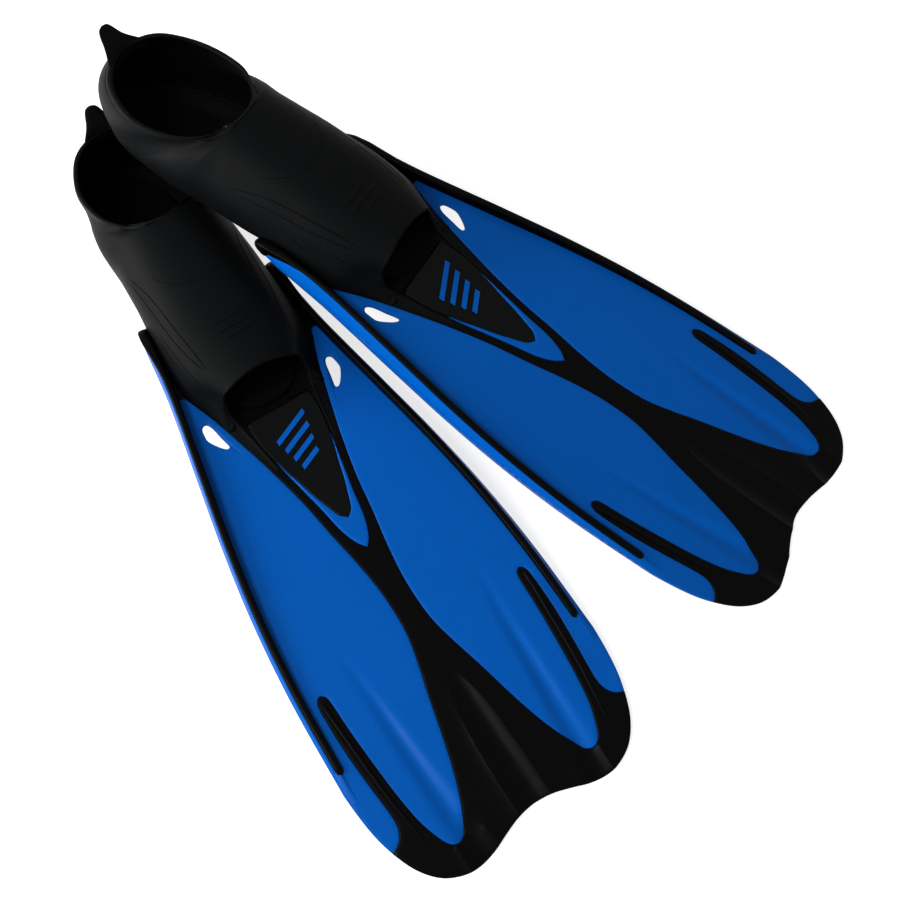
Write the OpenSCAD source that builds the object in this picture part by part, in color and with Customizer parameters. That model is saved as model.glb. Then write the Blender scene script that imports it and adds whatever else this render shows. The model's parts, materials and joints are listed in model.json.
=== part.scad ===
// A pair of full-foot swim fins, one laid across the other. Each fin is a soft foot pocket
// moulded over a stiff blue blade, with black rubber trim along the blade's centre, rails and
// tail. All shapes are drawn in the fin's own frame, with X across the fin, Y from heel to
// tail, Z up and the origin at the tip of the V accent, in the middle of the blade sheet.
// Each fin is then tilted until its heel and tail, or the fin below, carry it.

/* [Blade] */
// Widest part of the blade
blade_w = 197; // [170:1:225]
// From the tip of the V accent to the lobes of the tail
tip_reach = 211.5; // [180:0.5:260]
// From the tip of the V accent back to the start of the side rails
root_reach = 226; // [224:0.5:232]
// Thickness of the blade sheet
sheet_t = 3; // [2:0.1:4]
// Depth of the notch in the middle of the tail
notch_d = 12; // [4:0.5:24]
// Height of the toe panel and the V accent over the middle of the sheet
panel_h = 2.4; // [1.8:0.1:4]

/* [Rails] */
// Half height of the side rails at their highest
rail_h = 10; // [7:0.5:14]
// Thickness of the blue rail wall
rail_wall = 3; // [2:0.1:4]
// Height of the black cap on top of the rail wall
cap_h = 2.4; // [1.5:0.1:4]
// How far the black cap stays inside the outer edge
cap_inset = 0.6; // [0.2:0.1:1.5]

/* [Blade hinge] */
// Where the blade starts to bend, measured from the tip of the V accent
hinge_y = 10; // [10:0.5:40]
// Radius of the rounded joint face
hinge_r = 7.3; // [7:0.1:8]
// Running clearance between the two halves of the blade
hinge_gap = 0.4; // [0.2:0.05:1]

/* [Foot pocket] */
// Wall of the rubber shell
pocket_wall = 3; // [2:0.25:4.5]
// Thickness of the rubber under the foot
pocket_floor = 3.5; // [2.5:0.25:6]
// Length of the sole from the toe edge to the heel
sole_len = 254; // [235:1:275]
// Angle between the sole and the blade
sole_angle = 9; // [5:0.5:14]
// Half width of the pocket at the ball of the foot
ball_w = 48; // [42:0.5:49]
// Half width of the pocket at the heel
heel_w = 39.5; // [35:0.5:44]
// Height of the heel cup over the sole
heel_h = 67; // [57:1:78]
// Height of the shell over the toes, above the middle of the sheet
toe_top = 38; // [32:0.5:46]
// Height of the front of the foot opening, above the middle of the sheet
instep_top = 45; // [36:0.5:52]
// Length of the top of the shell, from the toe arch to the foot opening
instep_len = 132.5; // [110:0.5:150]

/* [Sole] */
// Half width of the stiff sole plate at the ball of the foot
plate_w = 27; // [18:0.5:30]
// Thickness of the sole plate
plate_t = 2.4; // [1.5:0.1:4]
// Depth of the grip grooves across the sole plate
groove_d = 1; // [0.4:0.1:1.4]
// Thickness of the footbed inside the pocket
footbed_t = 2; // [1:0.1:4]
// Diameter of the drain hole in the sole
drain_d = 8; // [5:0.5:12]

/* [Heel tab] */
// Width of the pull tab at its root
tab_w = 30; // [20:1:36]
// Length of the pull tab
tab_len = 17; // [12:0.5:28]
// Thickness of the pull tab
tab_t = 4; // [3:0.25:5]

/* [Pair] */
// Angle between the two fins, seen from above
fan_angle = 25.2; // [24:0.5:32]
// How far the heel of the upper fin is held over the rim of the pocket below
fins_gap = 0.9; // [0.8:0.1:3]
// The upper fin's V accent from the lower fin's, to the side
upper_x = -190; // [-210:1:-180]
// The upper fin's V accent from the lower fin's, towards the tails
upper_y = 8.5; // [0:0.5:30]

/* [Hidden] */

blue = [0.05, 0.33, 0.68];
black = [0.09, 0.09, 0.1];
rubber = [0.16, 0.16, 0.17];

// The outlines below are drawn for a blade of this width and these lengths
drawn_w = 197;
drawn_tip = 211.5;
drawn_root = 226;
drawn_ball = 48;
far = 640;              // longer than any piece
near = 0.001;
seam = 0.2;             // between the pocket and what is moulded round it
spline_steps = 3;
pocket_fn = 40;

sheet_h = sheet_t / 2;
toe_y = -122;           // lower edge of the toe opening
toe = [sized_y(toe_y), -5.5];
arch_y = sized_y(-143); // top of the toe opening
corner_y = -163;        // upper corners of the blue panels
cap_end_y = 118;        // ends of the rail caps
side_y = 175.3;         // where the blue outer panel meets the black tail
wall_end_y = 166;       // where the rail wall has run down to the sheet
rail_draft = 2.4;       // how far the top of the rail stands inside its foot
bridge_w = 1.5;         // rubber across the front of the toe opening

// Ridges beside the toe opening: y, inner and outer edge, height
leg_rows = [[-124.8, 30.5, 39.6, 14], [-112, 27.8, 36, 8], [-100, 25.3, 32.5, 4.5],
    [-88, 23.2, 29.2, 2]];
leg_tilt = 0.48;

// Sides of the pocket where the rubber sheet meets it, from toe to heel
pocket_side = concat(
    at_foot([[36, -123.7], [40.5, -134], [44.5, -149], [47.2, -163]]),
    beside_foot([[1, -185], [1, -208], [0.4, -drawn_root]]));

drain_x = heel_w * 0.61;
drain_s = sole_len * 0.732;     // distance of the drain holes from the toe edge

bed_rise = 2.6;         // the footbed lies over the curve of the pocket's floor
bed_start = 6;
bed_end = 12;

plate_start = 2;
plate_end = sole_len - 1;
groove_w = 3;
groove_step = 9;
groove_from = [sole_len * 0.12, sole_len * 0.79];
groove_count = 5;

bar_h = 0.6;
bar_w = 4;
bar_step = 9;
bar_slant = 24;
bar_half = [14, 12, 10, 8];
bars_y = sized_y(-105);

// ---- Curves ----

// A point between b and c on a smooth curve through a, b, c and d
function through(a, b, c, d, t) =
    0.5 * (2 * b + (c - a) * t + (2 * a - 5 * b + 4 * c - d) * t * t
        + (3 * b - a - 3 * c + d) * t * t * t);

// A smooth open curve through a list of points
function curve(p, steps = spline_steps) = let (last = len(p) - 1) concat(
    [for (i = [0:last - 1], k = [0:steps - 1])
        through(p[max(i - 1, 0)], p[i], p[i + 1], p[min(i + 2, last)], k / steps)],
    [p[last]]);

function backwards(p) = [for (i = [len(p) - 1:-1:0]) p[i]];
function mirrored(p) = [for (q = p) [-q.x, q.y]];
function inwards(p, d) = [for (q = p) [q.x - d, q.y]];
function unit(v) = v / norm(v);

// A closed outline without doubled points
function closed(p) = [for (i = [0:len(p) - 1])
    if (norm(p[i] - p[(i + 1) % len(p)]) > 0.01) p[i]];
// Both halves of an outline from its right half, which runs from front to back or back to front
function whole(half) = closed(concat(half, backwards(mirrored(half))));

function sized_y(y) = y * (y > 0 ? tip_reach / drawn_tip : root_reach / drawn_root);
function sized(p) = [for (q = p) [q.x * blade_w / drawn_w, sized_y(q.y)]];
// Points that keep to the foot pocket: in its proportions, or at a distance beside it
function at_foot(p) = [for (q = p) [q.x * ball_w / drawn_ball, sized_y(q.y)]];
function beside_foot(p) = [for (q = p) [ball_w + q.x, sized_y(q.y)]];
function behind(p, y) = [for (q = p) if (q.y <= sized_y(y) + near) q];
function ahead(p, y) = [for (q = p) if (q.y >= sized_y(y) - near) q];

// ---- Outlines of the blade, right half ----

lobe = drawn_tip;
edge = curve(concat(
    [[0, tip_reach - notch_d], [13, tip_reach - notch_d * 0.88], [27, tip_reach - notch_d * 0.5],
        [38, tip_reach - notch_d * 0.16]],
    sized([
        [50, lobe], [62, 209.5], [74, 203], [84, 191], [91, side_y], [95.6, 158], [98.3, 135],
        [98.5, cap_end_y], [97, 60], [92.5, 5], [85, -48], [75, -103]]),
    beside_foot([[16, corner_y], [10.8, -205], [8, -drawn_root]])));
edge_side = behind(edge, side_y);

// Where the blue panel meets the black centre, from its upper corner to the petal's tip
panel_in = curve(concat(
    beside_foot([[4.5, corner_y]]),
    at_foot([[43, -137], [34, -105], [27.5, -80], [21, -50], [16.5, -20]]),
    sized([
        [12.2, 5], [9.4, 28], [8.8, 48], [10, 66], [14, 85], [20, 108], [26.5, 135], [33, 158],
        [39.5, 175], [46, 188], [52, 193]])));
// From the petal's tip up to the arm, round the arm and down to the side corner
petal_out = curve(sized([
    [52, 193], [58, 190], [63, 181], [67, 168], [70, 150], [72.5, 125], [74.5, 98],
    [75.3, 76], [76.4, 70.5], [79.5, 68], [82.6, 70.5], [83.9, 78], [83.8, 104], [82, 130],
    [80.2, 148], [80, 160]]));
vent = closed(curve(at_foot([
    [50, -137.5], [53, -135], [54, -126.5], [48.3, -115], [44.2, -112.8], [42.5, -115.5],
    [43.6, -125], [47, -135.5], [50, -137.5]])));

// Inner edge of the black rail cap, from the tail end to the root
cap_corner = 8.5;       // beside the ball of the foot
cap_in = curve(concat(sized([
    [90.4, cap_end_y], [90, 85], [88.6, 45], [84.8, 0], [77.5, -50], [67.3, -103]]),
    beside_foot([
        [cap_corner, corner_y], [4.4, -192], [2.4, -212], [1.2, -drawn_root]])));
cap_side = behind(edge_side, cap_end_y);

// Half height of the rails along the blade, as a share of the highest
rail_rise = [
    [-drawn_root, 0.25], [-218, 0.6], [-205, 0.9], [-180, 1], [-140, 1], [-100, 0.98],
    [-50, 0.88], [0, 0.75], [50, 0.6], [90, 0.48], [cap_end_y, 0.38], [140, 0.27], [165, 0.17],
    [side_y, 0.15]];

// ---- Outlines of the V accent and the toe panel, right half ----

v_out = curve(at_foot([
    [21.7, -86], [20, -75], [17, -60], [13, -40], [9.5, -20], [5, -7], [0, 0]]));
v_in = curve(at_foot([
    [21.7, -86], [19, -75], [16, -65], [12, -50], [8.6, -40], [5, -30], [0, -25]]));
panel_side = at_foot([[25, toe_y], [25.4, -110], [24.3, -98]]);

// ---- Foot pocket ----

along_sole = [-cos(sole_angle), -sin(sole_angle)];
down_sole = [sin(sole_angle), -cos(sole_angle)];
function sole(s) = toe + s * along_sole;
heel = sole(sole_len);
lip_r = pocket_wall / 2;
lip = [arch_y - instep_len, instep_top - lip_r];

// Rings up to the foot opening, as shares of the instep's length and of the ball's half width
shell_rings = [
    [0, 0, 0.80], [0.1, 0.08, 0.88], [0.24, 0.18, 0.955], [0.38, 0.283, 0.995],
    [0.52, 0.38, 0.995], [0.66, 0.476, 1], [0.8, 0.567, 0.985], [0.94, 0.66, 0.97]];
// Rings round the heel, as [distance before the sole's end, height], with shares of its width
heel_rings = [
    [[62, 0], 1.165], [[44, 0], 1.145], [[28, 0], 1.12], [[14, 0], 1.09], [[3, 0.3], 1.06],
    [[-7, 3], 1.035], [[-14, 10], 1.01], [[-18.8, 20], 1], [[-20.8, 31.5], 1],
    [[-20.3, 43.5], 1], [[-16.8, 55.5], 0.99], [[-10, 67], 0.975]];
drawn_heel = 67;
heel_last = len(heel_rings) - 1;
lip_turn = 60;          // how far the outer skin rolls over the front of the foot opening
opening_dip = 11;         // how far the sides of the foot opening dip below its ends
belly = 0.62;           // how far down the shell is widest
round_top = 0.85;       // below 1 is squarer than an ellipse
round_floor = 0.62;
round_rim = 0.98;

function heel_point(p) = heel + [p.x * cos(sole_angle), p.y * heel_h / drawn_heel]
    + (p.x > 0 ? [0, p.x * sin(sole_angle)] : [0, 0]);
function lip_point(turn, up) = lip + lip_r * [-sin(turn), up * cos(turn)];

// A ring from its top point to its bottom point, wide to each side, its sides lowered by dip
function ring(top, bottom, wide, low, top_k, floor_k, dip) =
    let (d = bottom - top, n = unit([d.y, -d.x]))
    [for (i = [0:pocket_fn - 1])
        let (t = 360 * i / pocket_fn, c = cos(t), s = sin(t), k = c >= 0 ? top_k : floor_k,
            a = c >= 0 ? low * (1 - pow(c, k)) : low + (1 - low) * pow(-c, k),
            yz = top + a * d + dip * s * s * n)
        [wide * sign(s) * pow(abs(s), k), yz.x, yz.y]];

// skin is 0 for the outside of the shell and 1 for its inside
function shell_ring(r, skin) =
    let (top = [arch_y - r[0] * instep_len,
            toe_top + (instep_top - toe_top) * sin(90 * r[0])],
        bottom = sole(r[1] * sole_len), d = unit(bottom - top))
    ring(top + skin * pocket_wall * d, bottom - skin * pocket_floor * d,
        r[2] * ball_w - skin * pocket_wall, belly,
        1 - (1 - round_top) * min(1, r[0] / 0.3), round_floor, 0);

function heel_ring(i, skin) =
    let (r = heel_rings[i], share = i / heel_last, turn = lip_turn * (i + 0.6) / (heel_last + 0.6),
        top = lip_point(turn, skin == 0 ? 1 : -1), bottom = heel_point(r[0]),
        thick = pocket_floor + (pocket_wall - pocket_floor) * share)
    ring(top, bottom - skin * thick * unit(bottom - top), r[1] * heel_w - skin * pocket_wall,
        belly - 0.1 * share, round_top + (round_rim - round_top) * share,
        min(round_floor + 0.62 * share, round_rim), -opening_dip * share * share);

function skin_rings(skin) = concat(
    [for (r = shell_rings) shell_ring(r, skin)], [for (i = [0:heel_last]) heel_ring(i, skin)]);

// The tab stands on the rim of the heel and leans back
tab_lean = 18;
tab_gap = 0.6;
rim_end = heel_point(heel_rings[heel_last][0]);
rim_up = let (d = unit(lip - rim_end)) [-d.y, d.x];
tab_pin = rim_end + [pocket_wall / 2, 0] + (tab_t / 2 + tab_gap) * rim_up;

// The lower fin rests on the back of its sole plate and on the lobes of its tail
plate_foot = sole(plate_end) + (seam + plate_t) * down_sole;
lower_pitch = atan2(-sheet_h - plate_foot.y, tip_reach - plate_foot.x);
pair_x = 94.7;
pair_y = 80.9;

// The upper fin stands on the lobes of its tail and is tilted until the underside of its shell
// clears the rim of the pocket below it
under_ring = 1;         // the ring of its heel that lies over the rim
under_w = heel_w * heel_rings[under_ring][1];
under_h = norm(heel_point(heel_rings[under_ring][0]) - lip);
plate_drop = seam + plate_t;
plate_heel = 0.74;      // half width of the sole plate under the heel, as a share of the widest
function turned(p, a) = [p.x * cos(a) - p.y * sin(a), p.x * sin(a) + p.y * cos(a)];
// Height of the shell's underside over its lowest line, beside its middle
function under_shell(x) = (1 - belly) * under_h
    * (1 - pow(max(0, 1 - pow(x / under_w, 2 / round_floor)), round_floor / 2));
// A point of the lower fin, seen from above along the upper one: across, along and height
function seen_from_upper(p) =
    let (y = p.y * cos(lower_pitch) + p.z * sin(lower_pitch),
        z = (tip_reach - p.y) * sin(lower_pitch) + (sheet_h + p.z) * cos(lower_pitch),
        at = turned(turned([p.x, y], -fan_angle / 2) - [upper_x, upper_y], -fan_angle / 2))
    [at.x, at.y, z];
// The tilt at which the upper fin just clears one point, from a first guess
function tilt_over(p, guess) =
    let (back = tip_reach * cos(guess) - sheet_h * sin(guess) - p.y,
        rise = (toe - [tip_reach, -sheet_h]) * -down_sole - fins_gap
            + (abs(p.x) < plate_w * plate_heel ? -plate_drop : under_shell(abs(p.x))))
    sole_angle + atan2(p.z, back) - asin(rise / norm([back, p.z]));
rim_below = [for (p = heel_ring(heel_last, 0)) seen_from_upper(p)];
function tilt_over_rim(guess, tries = 4) = tries == 0 ? guess
    : tilt_over_rim(max([for (p = rim_below) if (abs(p.x) < under_w) tilt_over(p, guess)]),
        tries - 1);
upper_pitch = tilt_over_rim(lower_pitch);

// ---- Shapes in the fin's own frame ----

module both_sides() {
    children();
    mirror([1, 0, 0]) children();
}

module sheet(high = sheet_h) {
    translate([0, 0, -sheet_h]) linear_extrude(sheet_h + high) children();
}

module hinge_barrel(r) {
    translate([0, hinge_y, 0]) rotate([0, 90, 0]) cylinder(r = r, h = far, center = true);
}

// Everything on the foot's side of the hinge, and everything on the tail's side
module root_zone() {
    difference() {
        translate([-far / 2, hinge_y - far, -far / 2]) cube(far);
        hinge_barrel(hinge_r + hinge_gap);
    }
}

module tip_zone() {
    translate([-far / 2, hinge_y, -far / 2]) cube(far);
    hinge_barrel(hinge_r);
}

// A slab across the fin between two heights, each a function of the rail's half height
module rail_band(low_share, low_add, high_share, high_add) {
    rows = [for (r = rail_rise) [sized_y(r[0]), r[1] * rail_h]];
    rotate([90, 0, 90]) linear_extrude(far, center = true)
        polygon(concat(
            [for (r = rows) [r[0], low_share * r[1] + low_add]],
            [for (r = backwards(rows)) [r[0], max(high_share * r[1] + high_add, 0)]]));
}

module strip(side, from, to) {
    translate([0, 0, -far / 2]) linear_extrude(far)
        polygon(concat(inwards(side, from), backwards(inwards(side, to))));
}

module pocket_shell() {
    rows = concat(skin_rings(0), backwards(skin_rings(1)));
    n = pocket_fn;
    m = len(rows);
    polyhedron(
        points = [for (r = rows) each r],
        faces = [for (j = [0:m - 1], i = [0:n - 1])
            let (a = j * n + i, b = j * n + (i + 1) % n, up = ((j + 1) % m) * n)
            each [[a, up + i, b], [b, up + i, up + (i + 1) % n]]]);
}

module foot_pocket_shape() {
    color(rubber) difference() {
        pocket_shell();
        drain();
    }
}

// Works in the plane of the sole, y running from the toe edge back to the heel
module on_sole(lift) {
    translate([0, toe.x, toe.y]) rotate([sole_angle, 0, 0]) translate([0, 0, lift]) children();
}

module drain() {
    for (x = [-drain_x, drain_x])
        on_sole(-far / 4) translate([x, -drain_s, 0]) cylinder(d = drain_d, h = far / 4 + 14);
}

// Foot-shaped outline through [distance from the toe edge, half width] pairs
module foot_outline(pairs) {
    polygon(whole(curve([for (p = pairs) [p[1], -p[0]]])));
}

module footbed_shape() {
    color(black) difference() {
        on_sole(pocket_floor + bed_rise) linear_extrude(footbed_t)
            foot_outline([
                [bed_start, 0], [bed_start + 1, 12], [bed_start + 14, 24], [sole_len * 0.28, 31],
                [sole_len * 0.47, 29], [sole_len * 0.67, 25], [sole_len - bed_end - 26, 23],
                [sole_len - bed_end - 9, 16],
                [sole_len - bed_end - 1, 7], [sole_len - bed_end, 0]]);
        drain();
    }
}

module sole_plate_shape() {
    color(black) difference() {
        on_sole(-seam - plate_t) difference() {
            linear_extrude(plate_t) foot_outline([
                [plate_start, 0], [plate_start + 1, plate_w * 0.6],
                [plate_start + 12, plate_w * 0.92], [sole_len * 0.28, plate_w],
                [sole_len * 0.49, plate_w * 0.72], [sole_len * 0.69, plate_w * 0.66],
                [sole_len * 0.85, plate_w * plate_heel], [plate_end - 9, plate_w * 0.6],
                [plate_end - 1, plate_w * 0.25], [plate_end, 0]]);
            for (from = groove_from, i = [0:groove_count - 1])
                translate([-far / 2, -from - i * groove_step, -1])
                    cube([far, groove_w, 1 + groove_d]);
        }
        drain();
    }
}

module heel_tab_shape() {
    ear = curve([
        [tab_w / 2, 0], [tab_w * 0.4, tab_len * 0.22], [tab_w * 0.31, tab_len * 0.5],
        [tab_w * 0.25, tab_len * 0.78], [tab_w * 0.14, tab_len * 0.95], [0, tab_len]]);
    color(rubber) translate([0, tab_pin.x, tab_pin.y]) rotate([tab_lean, 0, 0]) {
        rotate([90, 0, 0]) linear_extrude(tab_t, center = true) polygon(whole(ear));
        rotate([0, 90, 0]) cylinder(d = tab_t, h = tab_w, center = true);
    }
}

module toe_panel_shape() {
    color(black) sheet(panel_h) polygon(whole(concat(panel_side, v_in)));
}

// Plain slanted bars on the toe panel
module toe_bars_shape() {
    color(blue) for (i = [0:len(bar_half) - 1])
        let (w = bar_half[i], rise = w * tan(bar_slant))
        translate([0, bars_y + i * bar_step, panel_h]) linear_extrude(bar_h)
            polygon([[-w, -rise], [w, rise], [w, rise + bar_w], [-w, bar_w - rise]]);
}

module v_accent_shape() {
    color(blue) sheet(panel_h)
        polygon(closed(concat(
            v_out, backwards(mirrored(v_out)), mirrored(v_in), backwards(v_in))));
}

// Black rubber between the pocket, the panels and the V, all the way to the tail
module black_sheet() {
    half = concat(
        [[0, toe.x - bridge_w], [30, toe.x - bridge_w]], pocket_side,
        backwards(inwards(behind(edge_side, corner_y), rail_draft + rail_wall)), panel_in,
        petal_out,
        backwards(ahead(edge, side_y)));
    sheet() difference() {
        polygon(whole(half));
        polygon(whole(concat([[0, toe.x]], panel_side, v_out)));
    }
}

module blue_sheet() {
    sheet() difference() {
        polygon(closed(concat(
            ahead(edge_side, corner_y), beside_foot([[cap_corner, corner_y]]), panel_in,
            petal_out)));
        polygon(vent);
    }
}

// The rail wall steps inwards over the sheet, as a moulded wall with draft does
module rail_wall_shape() {
    intersection() {
        strip(behind(edge_side, wall_end_y), 0, rail_wall);
        rail_band(-1, 0, 0, sheet_h);
    }
    intersection() {
        strip(cap_side, rail_draft, rail_draft + rail_wall);
        rail_band(0, -sheet_h, 1, -cap_h);
    }
}

module rail_cap_shape() {
    difference() {
        intersection() {
            translate([0, 0, -far / 2]) linear_extrude(far) polygon(closed(concat(
                cap_in, backwards(inwards(cap_side, rail_draft + cap_inset)))));
            rail_band(0, sheet_h, 1, 0);
        }
        intersection() {
            strip(cap_side, 0, rail_draft + rail_wall);
            rail_band(0, -sheet_h, 1, -cap_h);
        }
    }
}

// Rubber ridge on each side of the toe opening, sloping down to the arms of the V
module toe_leg() {
    rows = [for (r = leg_rows) let (b = r[1], w = r[2] - r[1], h = r[3], x = ball_w / drawn_ball)
        [for (p = [[b, 0], [b, h - 1], [b + 1, h], [b + 0.3 * w, h * 0.97],
                [b + 0.75 * w, h * 0.55], [b + w, 0]])
            [p.x * x, sized_y(r[0]) - p.y * leg_tilt, sheet_h + p.y]]];
    n = len(rows[0]);
    m = len(rows);
    polyhedron(
        points = [for (r = rows) each r],
        faces = concat(
            [[for (i = [0:n - 1]) i]], [[for (i = [n - 1:-1:0]) (m - 1) * n + i]],
            [for (j = [0:m - 2], i = [0:n - 1])
                let (a = j * n + i, b = j * n + (i + 1) % n)
                each [[a, a + n, b], [b, a + n, b + n]]]));
}

module saddle_shape() {
    color(rubber) {
        intersection() {
            black_sheet();
            root_zone();
        }
        both_sides() toe_leg();
    }
}

module blade_root_shape() {
    color(blue) intersection() {
        both_sides() {
            blue_sheet();
            rail_wall_shape();
        }
        root_zone();
    }
}

module blade_tip_shape() {
    color(blue) intersection() {
        both_sides() {
            blue_sheet();
            rail_wall_shape();
        }
        tip_zone();
    }
}

module tail_shape() {
    color(black) intersection() {
        black_sheet();
        tip_zone();
    }
}

module rail_cap_root_shape() {
    color(black) intersection() {
        both_sides() rail_cap_shape();
        root_zone();
    }
}

module rail_cap_tip_shape() {
    color(black) intersection() {
        both_sides() rail_cap_shape();
        tip_zone();
    }
}

// ---- The two fins in place ----

module lay_down(x, y, turn, pitch) {
    translate([x, y, tip_reach * sin(pitch) + sheet_h * cos(pitch)])
        rotate([0, 0, turn]) rotate([-pitch, 0, 0]) children();
}

module right_fin() {
    lay_down(pair_x, pair_y, -fan_angle / 2, lower_pitch) children();
}

module left_fin() {
    lay_down(pair_x + upper_x, pair_y + upper_y, fan_angle / 2, upper_pitch) children();
}

module right_foot_pocket() { right_fin() foot_pocket_shape(); }
module right_footbed() { right_fin() footbed_shape(); }
module right_sole_plate() { right_fin() sole_plate_shape(); }
module right_heel_tab() { right_fin() heel_tab_shape(); }
module right_toe_panel() { right_fin() toe_panel_shape(); }
module right_toe_bars() { right_fin() toe_bars_shape(); }
module right_v_accent() { right_fin() v_accent_shape(); }
module right_saddle() { right_fin() saddle_shape(); }
module right_blade_root() { right_fin() blade_root_shape(); }
module right_blade_tip() { right_fin() blade_tip_shape(); }
module right_tail() { right_fin() tail_shape(); }
module right_rail_cap_root() { right_fin() rail_cap_root_shape(); }
module right_rail_cap_tip() { right_fin() rail_cap_tip_shape(); }

module left_foot_pocket() { left_fin() foot_pocket_shape(); }
module left_footbed() { left_fin() footbed_shape(); }
module left_sole_plate() { left_fin() sole_plate_shape(); }
module left_heel_tab() { left_fin() heel_tab_shape(); }
module left_toe_panel() { left_fin() toe_panel_shape(); }
module left_toe_bars() { left_fin() toe_bars_shape(); }
module left_v_accent() { left_fin() v_accent_shape(); }
module left_saddle() { left_fin() saddle_shape(); }
module left_blade_root() { left_fin() blade_root_shape(); }
module left_blade_tip() { left_fin() blade_tip_shape(); }
module left_tail() { left_fin() tail_shape(); }
module left_rail_cap_root() { left_fin() rail_cap_root_shape(); }
module left_rail_cap_tip() { left_fin() rail_cap_tip_shape(); }

right_foot_pocket();
right_footbed();
right_sole_plate();
right_heel_tab();
right_toe_panel();
right_toe_bars();
right_v_accent();
right_saddle();
right_blade_root();
right_blade_tip();
right_tail();
right_rail_cap_root();
right_rail_cap_tip();
left_foot_pocket();
left_footbed();
left_sole_plate();
left_heel_tab();
left_toe_panel();
left_toe_bars();
left_v_accent();
left_saddle();
left_blade_root();
left_blade_tip();
left_tail();
left_rail_cap_root();
left_rail_cap_tip();
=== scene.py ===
# A pair of full-foot swim fins, one laid across the other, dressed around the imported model.
# A mesh is a pair here: its points, and its faces as lists of places in them.
import json
import math

import bpy
import numpy as np
from mathutils import Matrix, Vector
from mathutils.geometry import delaunay_2d_cdt
from mathutils.kdtree import KDTree


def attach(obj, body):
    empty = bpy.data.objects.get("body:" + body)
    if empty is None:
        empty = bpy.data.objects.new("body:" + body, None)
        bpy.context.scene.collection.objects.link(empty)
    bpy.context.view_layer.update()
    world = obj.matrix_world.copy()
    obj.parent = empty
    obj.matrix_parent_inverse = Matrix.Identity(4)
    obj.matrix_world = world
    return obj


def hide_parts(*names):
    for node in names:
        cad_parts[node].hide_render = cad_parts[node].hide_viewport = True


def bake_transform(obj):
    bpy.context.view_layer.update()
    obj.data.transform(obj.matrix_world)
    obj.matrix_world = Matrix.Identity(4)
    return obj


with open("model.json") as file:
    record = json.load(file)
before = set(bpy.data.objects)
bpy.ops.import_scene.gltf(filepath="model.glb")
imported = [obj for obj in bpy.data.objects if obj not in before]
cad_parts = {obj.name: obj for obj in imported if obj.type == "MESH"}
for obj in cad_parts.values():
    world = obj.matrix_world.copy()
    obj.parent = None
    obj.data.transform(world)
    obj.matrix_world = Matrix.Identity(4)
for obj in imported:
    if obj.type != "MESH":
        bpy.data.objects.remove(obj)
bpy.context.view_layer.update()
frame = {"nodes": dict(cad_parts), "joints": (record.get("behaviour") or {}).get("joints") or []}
joints = {joint["name"]: joint for joint in frame["joints"]}
mm = 0.001


# All shapes are drawn in a fin's own frame, in millimetres: X across the fin, Y from heel to
# tail, Z up, the origin at the tip of the V accent in the middle of the sheet
def through(a, b, c, d, t):
    return 0.5 * (2 * b + (c - a) * t + (2 * a - 5 * b + 4 * c - d) * t ** 2
                  + (3 * b - a - 3 * c + d) * t ** 3)


def smoothLine(points, steps=8):  # a smooth open curve through points, which may be rings too
    p = np.array(points, float)
    last = len(p) - 1
    rows = [through(p[max(i - 1, 0)], p[i], p[i + 1], p[min(i + 2, last)], k / steps)
            for i in range(last) for k in range(steps)]
    return np.array(rows + [p[last]])


def closedLoop(line):  # an outline without doubled points
    line = np.array(line, float)
    return line[np.linalg.norm(line - np.roll(line, -1, 0), axis=1) > 0.02]


def bothHalves(half):  # a closed outline from its right half
    return closedLoop(np.concatenate([half, (half * [-1, 1])[::-1]]))


def turnedLeft(loop):  # the loop with its inside on the left of its path
    x, y = loop.T
    area = (x * np.roll(y, -1) - y * np.roll(x, -1)).sum()
    return loop if area > 0 else loop[::-1]


def evenLoop(loop, longest):  # long stretches of a closed outline in shorter steps
    rows = []
    for a, b in zip(loop, np.roll(loop, -1, 0)):
        count = max(1, math.ceil(np.linalg.norm(b - a) / longest))
        rows += [a + (b - a) * k / count for k in range(count)]
    return np.array(rows)


def ramp(x, low, high):  # 0 below low, 1 above high, smooth between
    t = np.clip((np.asarray(x, float) - low) / (high - low), 0, 1)
    return t * t * (3 - 2 * t)


def along(x, pairs):  # straight stretches through (x, value) pairs
    return np.interp(x, [p[0] for p in pairs], [p[1] for p in pairs])


def stepsOf(line):  # the direction of a line at each of its points
    step = np.gradient(line, axis=0)
    return step / np.linalg.norm(step, axis=1)[:, None]


def runOf(line):  # how far along a line each of its points is
    return np.concatenate([[0], np.cumsum(np.linalg.norm(np.diff(line, axis=0), axis=1))])


def resampled(line, count):
    run = runOf(line)
    at = np.linspace(0, run[-1], count)
    return np.column_stack([np.interp(at, run, line[:, i]) for i in range(line.shape[1])])


def inside(points, loop):
    x, y = points[:, :1], points[:, 1:]
    x0, y0 = loop.T
    x1, y1 = np.roll(loop, -1, 0).T
    rise = np.where(np.abs(y1 - y0) < 1e-12, 1e-12, y1 - y0)
    hits = ((y0 > y) != (y1 > y)) & (x < (x1 - x0) * (y - y0) / rise + x0)
    return hits.sum(1) % 2 == 1


def edgeDistance(points, loops, batch=4000):  # in batches, to save memory
    best = np.full(len(points), 1e9)
    for loop in loops:
        step = np.roll(loop, -1, 0) - loop
        for start in range(0, len(points), batch):
            part = slice(start, start + batch)
            away = points[part, None] - loop[None]
            t = np.clip((away * step).sum(2) / (step ** 2).sum(1), 0, 1)
            gap = np.linalg.norm(away - t[..., None] * step, axis=2).min(1)
            best[part] = np.minimum(best[part], gap)
    return best


def join(*meshes):
    points, faces, count = [], [], 0
    for p, f in meshes:
        points.append(np.asarray(p, float))
        faces += [[i + count for i in face] for face in f]
        count += len(p)
    return np.concatenate(points), faces


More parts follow.
